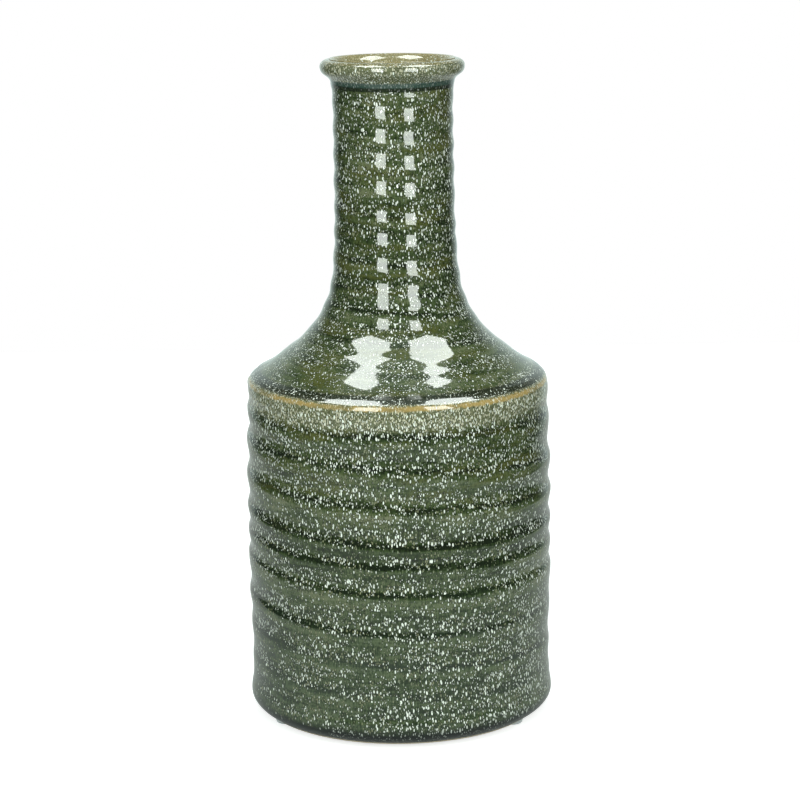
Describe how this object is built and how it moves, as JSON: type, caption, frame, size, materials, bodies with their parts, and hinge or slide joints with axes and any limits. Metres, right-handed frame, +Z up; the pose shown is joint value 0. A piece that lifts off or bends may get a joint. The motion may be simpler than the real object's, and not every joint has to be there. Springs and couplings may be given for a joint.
{
  "type": "bottle vase",
  "caption": "Wheel-thrown glazed stoneware bottle vase: straight ringed body, sloping shoulder, long narrow neck and rolled rim, for a few stems.",
  "frame": {"origin": "on the axis of the vase, level with the undersides of the bumper pads it stands on", "axes": "+Z up along the axis of the neck, -Y towards the viewer of the picture"},
  "size_m": [0.1414, 0.1414, 0.3028],
  "materials": {
    "stoneware": "matte",
    "outer_glaze": "satin",
    "inner_glaze": "satin",
    "pad": "satin"
  },
  "bodies": {
    "root": {"stoneware_body": "stoneware", "outer_glaze": "outer_glaze", "inner_glaze": "inner_glaze", "bumper_pad_left": "pad", "bumper_pad_right": "pad", "bumper_pad_back": "pad"}
  },
  "joints": []
}
